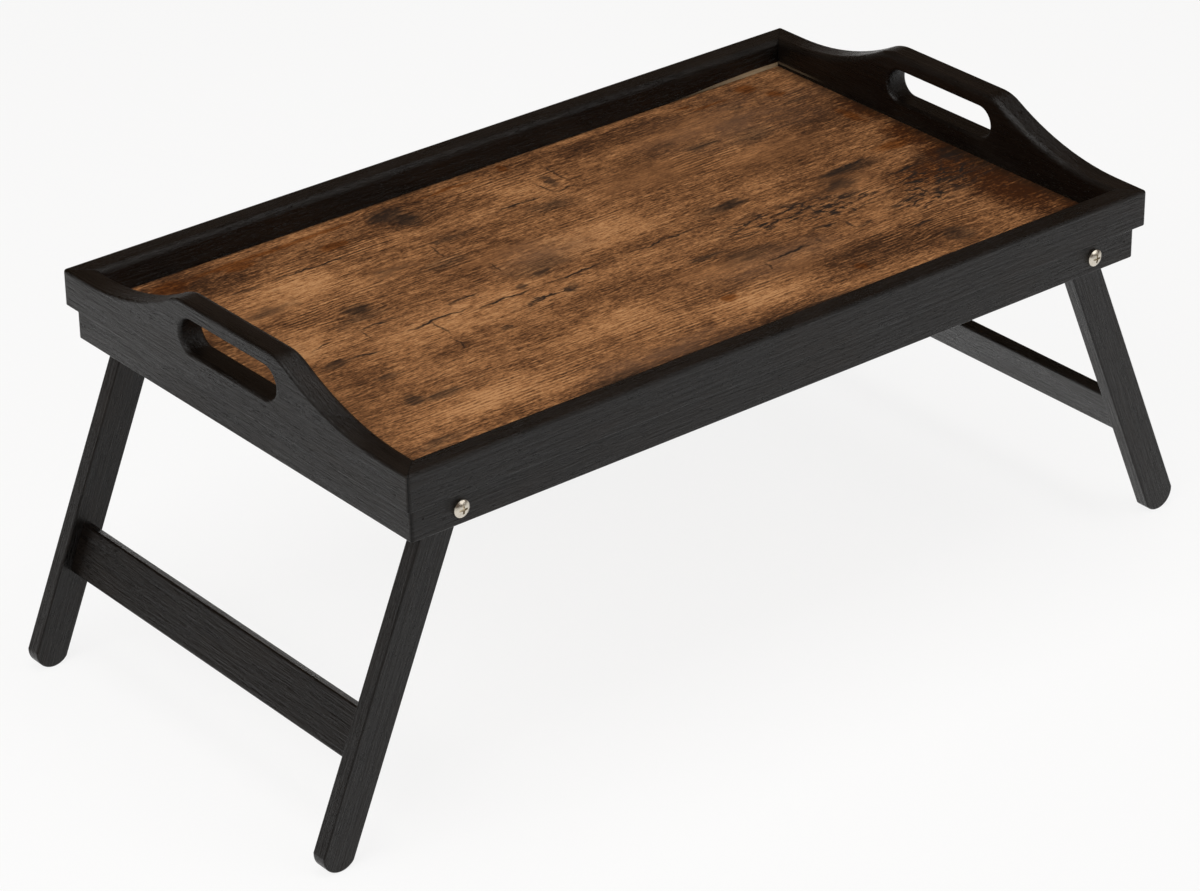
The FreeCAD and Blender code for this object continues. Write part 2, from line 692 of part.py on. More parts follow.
def make_screw(end_name, side_name):
    """A domed machine screw with a cross recess."""
    end, side = ENDS[end_name], SIDES[side_name]
    label = "%s_%s_pivot_screw" % (end_name, side_name)
    body = new_body(label)
    profile = plane_sketch(body, "XZ_Plane", label + "_profile")
    corners = [("zero", "-shank_length"), ("shank_tip", "-shank_length"),
               ("shank_radius", "-shank_shoulder"), ("shank_radius", "zero"), ("head_radius", "zero"),
               ("head_radius", "head_rim")]
    places = [Vector(size(across), size(along), 0) for across, along in corners]
    crown = Vector(0, size("head_height"), 0)
    lines = [profile.addGeometry(Part.LineSegment(a, b)) for a, b in zip(places, places[1:])]
    centre = Vector(0, size("head_height") - size("dome_radius"), 0)
    dome = arc(profile, centre, places[-1], crown)
    spine = profile.addGeometry(Part.LineSegment(crown, places[0]))
    for first, second in zip(lines, lines[1:]):
        join(profile, "Coincident", first, 2, second, 1)
    join(profile, "Coincident", lines[-1], 2, dome, 1)
    join(profile, "Coincident", dome, 2, spine, 1)
    join(profile, "Coincident", spine, 2, lines[0], 1)
    for line, (across, along) in zip(lines, corners):
        fix_point(profile, line, 1, across, along)
    fix_point(profile, dome, 1, "head_radius", "head_rim")
    fix_point(profile, dome, 2, "zero", "head_height")
    bind(profile, Sketcher.Constraint("Radius", dome, size("dome_radius")), "dome_radius")
    turned = body.newObject("PartDesign::Revolution", label + "_turned")
    turned.Profile = profile
    turned.ReferenceAxis = (profile, ["V_Axis"])
    turned.Angle = 360
    doc.recompute()

    recess = plane_sketch(body, "XY_Plane", label + "_recess_outline")
    recess.setExpression("AttachmentOffset.Base.z", cell("head_height"))
    arm, flank = "recess_half", "recess_side"
    cross = [(arm, "-" + flank), (arm, flank), (flank, flank), (flank, arm), ("-" + flank, arm),
             ("-" + flank, flank), ("-" + arm, flank), ("-" + arm, "-" + flank),
             ("-" + flank, "-" + flank), ("-" + flank, "-" + arm), (flank, "-" + arm),
             (flank, "-" + flank)]
    polygon(recess, cross)
    doc.recompute()
    pocket(body, recess, label + "_recess", "recess_depth")
    place(body, signed(end, "pivot_x"), signed(side, "band_face"), "pivot_height",
          Vector(1, 0, 0), outward(side))
    return body


def make_nut(end_name, side_name):
    """A hexagon lock nut whose round collar holds a nylon ring."""
    end, side = ENDS[end_name], SIDES[side_name]
    label = "%s_%s_lock_nut" % (end_name, side_name)
    body = new_body(label)
    flats = plane_sketch(body, "XY_Plane", label + "_hexagon")
    polygon(flats, [("nut_corner", "zero"), ("nut_corner_half", "nut_half"),
                    ("-nut_corner_half", "nut_half"), ("-nut_corner", "zero"),
                    ("-nut_corner_half", "-nut_half"), ("nut_corner_half", "-nut_half")])
    pad(body, flats, label + "_hexagon_pad", "nut_height", reverse=True)
    for name, radius, length, cut in (("collar", "collar_radius", "collar_top", False),
                                      ("bore", "nut_bore", None, True)):
        round_sketch = plane_sketch(body, "XY_Plane", "%s_%s_outline" % (label, name))
        circle = round_sketch.addGeometry(Part.Circle(Vector(), Vector(0, 0, 1), size(radius)))
        join(round_sketch, "Coincident", circle, 3, -1, 1)
        bind(round_sketch, Sketcher.Constraint("Radius", circle, size(radius)), radius)
        if cut:
            pocket(body, round_sketch, label + "_" + name)
        else:
            pad(body, round_sketch, label + "_" + name, length, reverse=True)
    seat = plane_sketch(body, "XY_Plane", label + "_ring_seat_outline")
    seat.setExpression("AttachmentOffset.Base.z", cell("-collar_top"))
    circle = seat.addGeometry(Part.Circle(Vector(), Vector(0, 0, 1), size("ring_radius")))
    join(seat, "Coincident", circle, 3, -1, 1)
    bind(seat, Sketcher.Constraint("Radius", circle, size("ring_radius")), "ring_radius")
    doc.recompute()
    pocket(body, seat, label + "_ring_seat", "collar_height", reverse=True)
    place(body, signed(end, "pivot_x"), signed(side, "nut_face"), "pivot_height",
          Vector(1, 0, 0), outward(side))
    return body


def ring_group(label, outer, inner, height, face):
    """A washer or ring at each of the four pivots, its outward side on the named face."""
    rings = []
    for end_name, end in ENDS.items():
        for side_name, side in SIDES.items():
            name = "%s_%s_%s" % (label, end_name, side_name)
            disc = doc.addObject("Part::Cylinder", name + "_disc")
            hole = doc.addObject("Part::Cylinder", name + "_hole")
            for cylinder, radius in ((disc, outer), (hole, inner)):
                cylinder.setExpression("Radius", cell(radius))
                cylinder.setExpression("Height", cell(height))
                place(cylinder, signed(end, "pivot_x"), signed(side, face), "pivot_height",
                      Vector(1, 0, 0), outward(-side))
            ring = doc.addObject("Part::Cut", name)
            ring.Base = disc
            ring.Tool = hole
            rings.append(ring)
    group = doc.addObject("Part::Compound", label)
    group.Links = rings
    return group


# ---------------------------------------------------------------- the tray
def build():
    """Every sub-part, by node name."""
    parts = {}
    brads, holes = make_brads()
    blanks = {"front_rail": (rail_blank, "zero", "-half_width", 0),
              "back_rail": (rail_blank, "zero", "half_width", 180),
              "left_end_panel": (end_blank, "-half_length", "zero", -90),
              "right_end_panel": (end_blank, "half_length", "zero", 90)}
    for label, (make, x, y, turn) in blanks.items():
        blank = make(label + "_blank")
        place(blank, x, y, "board_bottom", Vector(0, 0, 1), turn)
        parts[label] = drilled(label, blank, holes)
    parts["corner_brads"] = brads
    # the board runs into the grooves; the printed sheet is laid on it between the inner faces
    parts["deck_board"] = deck_layer("deck_board", "deck_length", "deck_width",
                                     "core_thickness", "deck_underside")
    parts["deck_laminate"] = deck_layer("deck_laminate", "laminate_length", "laminate_width",
                                        "laminate_thickness", "laminate_underside")
    for end_name in ENDS:
        for side_name in SIDES:
            for make in (make_leg, make_screw, make_nut):
                body = make(end_name, side_name)
                parts[body.Label] = body
        bar = make_bar(end_name)
        parts[bar.Label] = bar
    parts["spacer_washers"] = ring_group("spacer_washers", "spacer_radius", "pivot_bore",
                                         "spacer_thickness", "rail_inner")
    parts["nut_washers"] = ring_group("nut_washers", "washer_radius", "pivot_bore",
                                      "washer_thickness", "leg_inner")
    parts["lock_nut_rings"] = ring_group("lock_nut_rings", "ring_radius", "nut_bore",
                                         "collar_height", "ring_face")
    doc.recompute()
    return parts


def check(parts):
    """Stops before anything is written if an object has failed or a sub-part is unsound."""
    for item in doc.Objects:
        if "Invalid" in item.State or "Error" in item.State:
            raise RuntimeError("%s: %s" % (item.Label, item.State))
    for label, part in parts.items():
        if part.Shape.isNull() or not part.Shape.isValid():
            raise RuntimeError(label + " has no sound shape")


def write(parts):
    os.makedirs("parts", exist_ok=True)
    for label, part in parts.items():
        part.Shape.exportStep("parts/%s.step" % label)
        box = part.Shape.BoundBox
        print("%-26s solids %2d  volume %10.1f  x %7.2f %7.2f  y %7.2f %7.2f  z %7.2f %7.2f" % (
            label, len(part.Shape.Solids), part.Shape.Volume, box.XMin, box.XMax, box.YMin, box.YMax,
            box.ZMin, box.ZMax))


parts = build()
check(parts)
write(parts)
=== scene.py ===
"""The looks of a folding bed tray: black stained beech, a printed rustic deck and nickelled pivot screws.

Every size here is in metres, in the frame of the packed part: +Z up, the deck's long side along X.
"""

import math

import bmesh
import bpy
from bpy.props import FloatProperty, FloatVectorProperty, PointerProperty
from mathutils import Matrix, Vector


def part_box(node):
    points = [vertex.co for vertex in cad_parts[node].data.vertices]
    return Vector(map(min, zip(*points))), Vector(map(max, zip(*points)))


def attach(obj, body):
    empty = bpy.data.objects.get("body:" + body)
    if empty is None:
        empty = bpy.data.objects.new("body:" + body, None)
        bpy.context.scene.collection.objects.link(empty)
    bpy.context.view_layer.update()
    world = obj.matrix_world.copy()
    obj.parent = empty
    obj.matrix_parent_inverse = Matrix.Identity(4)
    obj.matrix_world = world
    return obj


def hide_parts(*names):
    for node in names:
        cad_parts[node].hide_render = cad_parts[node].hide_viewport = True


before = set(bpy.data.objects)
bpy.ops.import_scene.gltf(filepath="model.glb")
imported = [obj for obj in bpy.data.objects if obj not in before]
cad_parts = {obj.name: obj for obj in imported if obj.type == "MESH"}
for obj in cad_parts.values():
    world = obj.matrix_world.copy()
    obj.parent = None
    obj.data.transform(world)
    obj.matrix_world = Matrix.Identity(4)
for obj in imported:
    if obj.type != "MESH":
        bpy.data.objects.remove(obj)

bl_info = {
    "name": "Bed Tray Looks",
    "version": (1, 0, 0),
    "blender": (4, 5, 0),
    "location": "View3D > Sidebar > Bed Tray",
    "description": "Finishes a folding bed tray's boards, printed deck and fittings, and sets its stage",
    "category": "Object",
}

MM = 0.001

# The camera that took the reference picture, as fitted to the tray's outline
CAMERA_AZIMUTH = math.radians(-38.87)
CAMERA_ELEVATION = math.radians(28.126)
CAMERA_ROLL = math.radians(-0.738)
CAMERA_DISTANCE = 2.4135
CAMERA_TARGET = Vector((-0.01165, -0.00114, 0.09046))
CAMERA_SENSOR = 36.0
CAMERA_LENS = 133.21

# Cell sizes of the wood's noises: along the grain, across it and into it
WOOD_FIBRES = (0.026, 0.0016, 0.0016)
WOOD_PORES = (0.006, 0.00055, 0.00055)
WOOD_CLOUDS = (0.055, 0.018, 0.018)
WOOD_RUBBING = (0.016, 0.0011, 0.0011)
MITRE_WANDER = (0.004, 0.004, 0.004)

# Cell sizes of the print's noises: along the grain, across it and upright
PRINT_FRAYING = (0.013, 0.006, 1)
PRINT_SWAY = (0.090, 0.060, 1)
PRINT_BANDS = (0.120, 0.024, 1)
PRINT_MOTTLE = (0.038, 0.020, 1)
PRINT_STREAKS = (0.030, 0.0019, 1)
PRINT_DASHES = (0.0085, 0.0009, 1)
PRINT_GRIT = (0.0024, 0.0009, 1)
PRINT_SAW_BREAKS = (0.024, 0.0042, 1)
PRINT_CRACK_NET = (0.015, 0.0056, 1)
PRINT_TEARS = (0.011, 0.0036, 1)
PRINT_SHORT_CRACKS = (0.0095, 0.0017, 1)
PRINT_PITS = (0.0080, 0.0058, 1)

# How far the print's outlines stray from their ovals, along the grain and across it
RAGGED_STRAY = (0.040, 0.018, 0.0)
FRAYED_STRAY = (0.014, 0.008, 0.0)
CRACK_NET_STRAY = (0.012, 0.006, 0.0)

# How strongly the print's areas change its lightness, and how well its stains cover
SUNLIT_LIFT = 0.26
DUSKY_LIFT = -0.22
BURNT_LIFT = -0.30
KNOT_PULL = -0.62
SMOKE_COVER = 0.78
AMBER_COVER = 0.85
BURNT_AMBER = 0.80
BLOT_COVER = 0.90
RESIN_LEVEL = 0.18

# The pale places at the far right corner: a wedge of bare wood that the stain missed on the back rail, and
# a fainter pale strip on the right panel
RAW_WEDGE_RUN = 0.090
RAW_WEDGE_HEIGHT = 0.0025
PALE_STRIP_RUN = 0.045
PALE_STRIP_HEIGHT = 0.0022

# The stage: the floor's whiteness in reflections falls off between two distances, from one share to
# another, and the surroundings turn from white to dim between two heights of the view ray
FLOOR_HALF = 8.0
FLOOR_WHITENESS = 0.86
FLOOR_MIRRORED = (0.9, 1.8, 1.0, 0.35)
HORIZON = (-0.03, 0.02)
LAMPS_LOOK_AT = Vector((0, 0, 0.15))

# The tray's own places, read from its nodes
DECK_LOW, DECK_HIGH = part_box("deck_laminate")
TRAY_HALF_LENGTH = -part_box("left_end_panel")[0].x
TRAY_HALF_WIDTH = -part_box("front_rail")[0].y

SIDE_BOARDS = ("front_rail", "back_rail")
END_PANELS = ("left_end_panel", "right_end_panel")
LEFT_LEGS = ("left_front_leg", "left_back_leg")
RIGHT_LEGS = ("right_front_leg", "right_back_leg")
CROSS_BARS = ("left_cross_bar", "right_cross_bar")


# ---------------------------------------------------------------- finishes


class Finish:
    """A material being mixed. Each method adds one node and hands back its output."""

    def __init__(self, name):
        self.material = bpy.data.materials.new(name)
        self.material.use_nodes = True
        self.tree = self.material.node_tree
        self.shader = self.tree.nodes["Principled BSDF"]

    def node(self, kind, feeds=(), **settings):
        made = self.tree.nodes.new(kind)
        for name, value in settings.items():
            setattr(made, name, value)
        for socket, value in dict(feeds).items():
            self.feed(made.inputs[socket], value)
        return made

    def feed(self, socket, value):
        if isinstance(value, bpy.types.NodeSocket):
            self.tree.links.new(value, socket)
        else:
            socket.default_value = value

    def place(self):
        """The point on the piece, in metres, in the tray's own frame."""
        return self.node("ShaderNodeTexCoord").outputs["Object"]

    def in_cells(self, place, size, centre=(0, 0, 0), turn=(0, 0, 0)):
        """The place counted from centre, turned, in cells of the given size."""
        feeds = {"Vector": place, "Location": centre, "Rotation": turn, "Scale": size}
        return self.node("ShaderNodeMapping", feeds, vector_type="TEXTURE").outputs[0]

    def noise(self, cells, detail=2.0, roughness=0.5, distortion=0.0):
        feeds = {"Vector": cells, "Scale": 1.0, "Detail": detail}
        feeds |= {"Roughness": roughness, "Distortion": distortion}
        return self.node("ShaderNodeTexNoise", feeds).outputs["Fac"]

    def tangle(self, cells):
        """A different noise along each axis."""
        feeds = {"Vector": cells, "Scale": 1.0, "Detail": 4.0, "Roughness": 0.65}
        return self.node("ShaderNodeTexNoise", feeds).outputs["Color"]

    def ramp(self, value, steps):
        """Runs value through a row of (position, colour) steps."""
        made = self.node("ShaderNodeValToRGB", {0: value})
        row = made.color_ramp.elements
        while len(row) < len(steps):
            row.new(0.5)
        for stop, (position, colour) in zip(row, steps):
            stop.position = position
            stop.color = opaque(colour)
        return made.outputs["Color"]

    def spread(self, value, low, high, start=0.0, end=1.0, smooth=True):
        """Value from low..high laid out over start..end, and held there beyond."""
        kind = "SMOOTHSTEP" if smooth else "LINEAR"
        feeds = {"Value": value, 1: low, 2: high, 3: start, 4: end}
        return self.node("ShaderNodeMapRange", feeds, interpolation_type=kind).outputs["Result"]

    def maths(self, operation, *values):
        made = self.node("ShaderNodeMath", dict(enumerate(values)), operation=operation)
        return made.outputs[0]

    def vectors(self, operation, *values):
        made = self.node("ShaderNodeVectorMath", dict(enumerate(values)), operation=operation)
        return made.outputs["Value" if operation == "LENGTH" else "Vector"]

    def split(self, vector):
        return self.node("ShaderNodeSeparateXYZ", {0: vector}).outputs

    def join(self, x, y, z):
        return self.node("ShaderNodeCombineXYZ", {0: x, 1: y, 2: z}).outputs[0]

    def blend(self, share, under, over, how="MIX"):
        """The colour over laid on the colour under, by the given share."""
        feeds = {0: share, 6: opaque(under), 7: opaque(over)}
        made = self.node("ShaderNodeMix", feeds, data_type="RGBA", blend_type=how)
        return made.outputs[2]

    def finish(self, colour, gloss, height=None, depth=0.0, strength=1.0):
        """Feeds the shader: gloss is its roughness, and height a bump of the given depth."""
        self.feed(self.shader.inputs["Base Color"], opaque(colour))
        self.feed(self.shader.inputs["Roughness"], gloss)
        if height is not None:
            feeds = {"Height": height, "Distance": depth, "Strength": strength}
            bump = self.node("ShaderNodeBump", feeds)
            self.feed(self.shader.inputs["Normal"], bump.outputs["Normal"])
        return self.material


def opaque(colour):
    """A colour with its alpha, or a socket as it is."""
    return colour if isinstance(colour, bpy.types.NodeSocket) else (*colour, 1.0)


def put_on(material, *nodes):
    """Gives the packed nodes this material in their own slots."""
    for name in nodes:
        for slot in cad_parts[name].material_slots:
            slot.material = material


# ---------------------------------------------------------------- black stained wood


def stained_wood(name, wood, turn=(0, 0, 0), mitred=False, pale_foot=None):
    """Black stained wood under satin lacquer, its grain along X turned by the given angles.

    pale_foot, where given, finds the pale places at the foot of an inner wall.
    """
    look = Finish(name)
    place = look.place()
    along = look.in_cells(place, (1, 1, 1), turn=turn)
    fibres = look.noise(look.in_cells(along, WOOD_FIBRES), 5, 0.66)
    pores = look.noise(look.in_cells(along, WOOD_PORES), 2, 0.6)
    clouds = look.noise(look.in_cells(along, WOOD_CLOUDS), 3, 0.55)
    rubbed = look.noise(look.in_cells(along, WOOD_RUBBING, centre=(0.3, 0.1, 0.2)), 3, 0.7)

    dark_pores = look.spread(pores, 0.60, 0.74)
    streaks = look.spread(fibres, 0.30, 0.70)
    colour = look.blend(streaks, wood.stain_dark, wood.stain)
    colour = look.blend(look.spread(clouds, 0.42, 0.74, 0.0, 0.40), colour, wood.stain_worn)
    patches = look.maths("MULTIPLY", look.spread(clouds, 0.50, 0.66), look.spread(rubbed, 0.50, 0.72))
    colour = look.blend(look.maths("MULTIPLY", patches, 0.45), colour, wood.stain_worn)
    colour = look.blend(look.maths("MULTIPLY", dark_pores, 0.75), colour, wood.stain_pores)

    gloss = look.spread(clouds, 0.30, 0.70, wood.gloss - 0.05, wood.gloss + 0.06)
    gloss = look.maths("MULTIPLY_ADD", fibres, 0.10, look.maths("SUBTRACT", gloss, 0.05))
    gloss = look.maths("MULTIPLY_ADD", dark_pores, 0.12, gloss)
    height = look.maths("MULTIPLY_ADD", streaks, 0.45, look.maths("MULTIPLY", dark_pores, -0.8))
    if mitred:
        seam = mitre_seam(look, place)
        colour = look.blend(seam, colour, wood.stain_pores)
        gloss = look.maths("ADD", gloss, look.maths("MULTIPLY", seam, 0.2))
        height = look.maths("SUBTRACT", height, seam)
    if pale_foot:
        pale_foot_mask = pale_foot(look, place, fibres)
        colour = look.blend(pale_foot_mask, colour, wood.raw)
        gloss = look.maths("MULTIPLY_ADD", pale_foot_mask, 0.25, gloss)
    look.shader.inputs["Specular IOR Level"].default_value = wood.lacquer
    return look.finish(colour, gloss, height, wood.relief, 0.85)


def at_wall(look, across, wall):
    """1 within a millimetre of the inner wall that stands at the given place, and 0 beyond it."""
    before = look.spread(across, wall - 2 * MM, wall - MM)
    behind = look.spread(across, wall + MM, wall + 2 * MM, 1.0, 0.0)
    return look.maths("MULTIPLY", before, behind)


def missed_along_rail(look, place, fibres):
    """The back rail's foot by the right hand corner: a pale wedge that thins out along the deck."""
    x, y, z = look.split(place)
    above = look.maths("SUBTRACT", z, DECK_HIGH.z)
    top = look.spread(x, DECK_HIGH.x - RAW_WEDGE_RUN, DECK_HIGH.x - 0.020, 0.0002, RAW_WEDGE_HEIGHT)
    top = look.maths("MULTIPLY_ADD", fibres, 0.0010, look.maths("SUBTRACT", top, 0.0005))
    wedge = look.spread(look.maths("SUBTRACT", top, above), -0.0002, 0.0003)
    reach = look.spread(x, DECK_HIGH.x - RAW_WEDGE_RUN, DECK_HIGH.x - 0.006, 0.0, 0.90)
    wedge = look.maths("MULTIPLY", wedge, at_wall(look, y, DECK_HIGH.y))
    return look.maths("MULTIPLY", wedge, reach)


def pale_strip_along_panel(look, place, fibres):
    """The right panel's foot by the same corner: a fainter strip a little above the deck."""
    x, y, z = look.split(place)
    above = look.maths("SUBTRACT", z, DECK_HIGH.z)
    from_strip = look.maths("ABSOLUTE", look.maths("SUBTRACT", above, PALE_STRIP_HEIGHT))
    strip = look.spread(from_strip, 0.0004, 0.0009, 1.0, 0.0)
    reach = look.spread(y, DECK_HIGH.y - PALE_STRIP_RUN, DECK_HIGH.y - 0.010, 0.0, 0.22)
    broken = look.spread(fibres, 0.35, 0.60, 0.5, 1.0)
    reach = look.maths("MULTIPLY", reach, broken)
    strip = look.maths("MULTIPLY", strip, at_wall(look, x, DECK_HIGH.x))
    return look.maths("MULTIPLY", strip, reach)


def mitre_seam(look, place):
    """1 along the hairline joints where two boards meet at 45 degrees."""
    x, y, _ = look.split(place)
    from_end = look.maths("SUBTRACT", TRAY_HALF_LENGTH, look.maths("ABSOLUTE", x))
    from_side = look.maths("SUBTRACT", TRAY_HALF_WIDTH, look.maths("ABSOLUTE", y))
    apart = look.maths("ABSOLUTE", look.maths("SUBTRACT", from_end, from_side))
    wander = look.noise(look.in_cells(place, MITRE_WANDER), 2, 0.5)
    reach = look.spread(wander, 0.3, 0.7, 0.0003, 0.0006)
    return look.spread(apart, 0.0001, reach, 1.0, 0.0)


# ---------------------------------------------------------------- printed deck

# Where the print's features lie on the deck: (x, y, length, width) in millimetres
SMOKY_PATCHES = (
    (-52, 75, 40, 12), (-100, 62, 34, 10), (-173, 93, 26, 8), (-178, 65, 44, 16), (128, 79, 30, 14),
    (160, 71, 46, 26), (113, 93, 16, 5), (214, 91, 40, 7), (178, 105, 12, 14), (-42, 10, 34, 9),
    (82, 8, 56, 18), (172, 1, 60, 15), (154, -9, 38, 20), (147, -24, 24, 18), (40, -33, 38, 9),
    (16, 71, 44, 22), (-58, 113, 44, 34), (-36, 15, 60, 26), (-84, -113, 80, 16), (-201, -107, 60, 14),
    (44, -113, 90, 12), (56, -45, 60, 22), (218, -15, 40, 26), (-146, 29, 46, 20), (-74, 51, 50, 14),
)
DARK_BLOTS = (
    (-62, 120, 33.8, 19.5), (-56, 106, 16.9, 19.5), (-63, 74, 6.5, 9.1), (-143, 38, 23.4, 15.6),
    (-182, -63, 16.9, 18.2), (-166, -68, 31.2, 11.7), (-176, -35, 15.6, 7.8), (-188, -7, 26, 10.4),
    (-97, -30, 10.4, 6.5), (160, -99, 26, 23.4), (34, 97, 7.8, 23.4), (130, 77, 28.6, 6.5),
    (88, 9, 26, 10.4), (228, -20, 20.8, 23.4), (164, 2, 39, 7.8), (151, -11, 26, 11.7),
    (41, -34, 31.2, 4.5), (-60, 3, 9.1, 7.8), (-42, 10, 23.4, 3.9), (-209, 40, 18.2, 10.4),
)
AMBER_STAINS = (
    (153, 124, 17, 3.5), (167, 118, 34, 4.5), (199, 123, 17, 15), (207, 106, 14, 13), (220, 55, 11, 36),
    (-202, 122, 34, 20), (-160, 119, 26, 10), (-104, 125, 66, 4.5), (-106, 108, 22, 10),
    (-16, 125, 60, 4), (14, -79, 12, 12), (92, -95, 13, 12), (-218, 108, 40, 26), (-150, 124, 120, 8),
    (212, 9, 40, 14), (24, 127, 8, 14),
)
KNOTS = (
    (160, -99, 34, 22), (-143, 36, 24, 14), (-58, 113, 26, 20), (88, 8, 40, 15),
)
# Where the print is smeared and calm, lighter, darker, greyer, and burnt; the greyer area at the back right
# also holds a painted greyish sheen
CALM_AREAS = (
    (80, 67, 120, 56), (134, 101, 120, 40), (154, 45, 120, 50), (-46, 41, 80, 26), (34, -47, 90, 22),
    (66, -73, 60, 24), (-100, 62, 50, 20), (-178, 65, 60, 24), (154, -9, 70, 40),
)
SUNLIT_AREAS = (
    (-156, -87, 150, 56), (4, 25, 150, 50), (-146, 79, 110, 44), (124, -5, 70, 20), (-106, -9, 200, 44),
    (-192, 23, 70, 60), (14, 97, 60, 26), (-56, -62, 140, 50), (30, -86, 120, 40),
)
DUSKY_AREAS = (
    (226, -65, 80, 170), (-190, 116, 130, 56), (-62, 115, 110, 52), (200, 71, 110, 120),
    (114, -87, 190, 60), (104, 121, 240, 40), (154, -5, 150, 50), (-16, -113, 260, 26),
)
GREYED_AND_SHEEN_AREAS = (
    (164, 93, 190, 90), (-26, 27, 90, 50), (64, -61, 130, 50), (-56, -105, 160, 40),
)
BURNT_AREAS = (
    (222, -73, 56, 110), (228, -19, 44, 60), (208, -31, 90, 44), (228, 15, 36, 60), (232, 56, 22, 60),
    (235, -108, 34, 70),
)
# Cracks that run with the grain: (x, y, length, thickness)
LONG_CRACKS = (
    (-144, 17, 38, 1.5), (-93, 12, 30, 1.9), (-118, 1, 60, 1.5), (-76, -3, 56, 1.5), (-26, -3, 60, 1.2),
    (38, -2, 74, 1.3), (-170, -8, 24, 1.4), (-58, -15, 34, 1.3), (109, -46, 28, 2.4),
    (129, -57, 20, 1.6), (74, -58, 52, 1.7), (4, 84, 44, 1.5), (35, 83, 26, 1.2), (134, -19, 20, 1.7),
    (194, -19, 44, 1.7), (174, 6, 44, 1.8), (-126, 93, 90, 1.1), (154, -77, 26, 1.3),
    (200, -45, 34, 2.0), (-182, 14, 20, 1.0),
)
# Cracks across the grain, each a length and a thickness
CROSS_CRACKS = (
    (-122, -8, 26, 1.1), (-125, -29, 20, 0.9), (26, 92, 26, 1.2), (43, 103, 38, 1.3),
    (-56, 30, 20, 0.9), (122, -52, 14, 1.8), (119, -29, 17, 1.6), (182, -47, 22, 1.5),
    (55, -63, 12, 1.4), (-156, 11, 14, 0.8), (96, -57, 7, 1.3), (-68, 65, 26, 1.0),
)
# Where the saw left its regular marks: (x, y, length, width)
SAWN_AREAS = (
    (-136, -83, 200, 66), (-6, -79, 200, 50), (120, 65, 66, 50), (-116, 97, 170, 30), (-68, 53, 50, 24),
    (154, -79, 130, 44), (10, 111, 120, 26), (24, 45, 60, 26), (218, 97, 30, 46), (-146, 45, 130, 40),
)
# Where small cracks and dashes crowd together, and where single pits lie scattered
CRAZED_AREAS = (
    (100, -21, 130, 34), (200, -39, 100, 56), (134, -31, 90, 34), (-56, -15, 60, 16),
    (174, -55, 60, 30),
)
PITTED_AREAS = (
    (-136, -19, 130, 34), (14, -17, 150, 30), (214, -65, 60, 90), (-56, 35, 80, 40),
)


def spots_on(look, place, spots, hard=0.35):
    """The strongest of several soft oval spots given in millimetres."""
    strongest = None
    for x, y, length, width in spots:
        per_cell = (2 / (length * MM), 2 / (width * MM), 0)
        shift = (-x * MM * per_cell[0], -y * MM * per_cell[1], 0)
        reach = look.vectors("LENGTH", look.vectors("MULTIPLY_ADD", place, per_cell, shift))
        spot = look.spread(reach, hard, 1.0, 1.0, 0.0)
        strongest = spot if strongest is None else look.maths("MAXIMUM", strongest, spot)
    return strongest


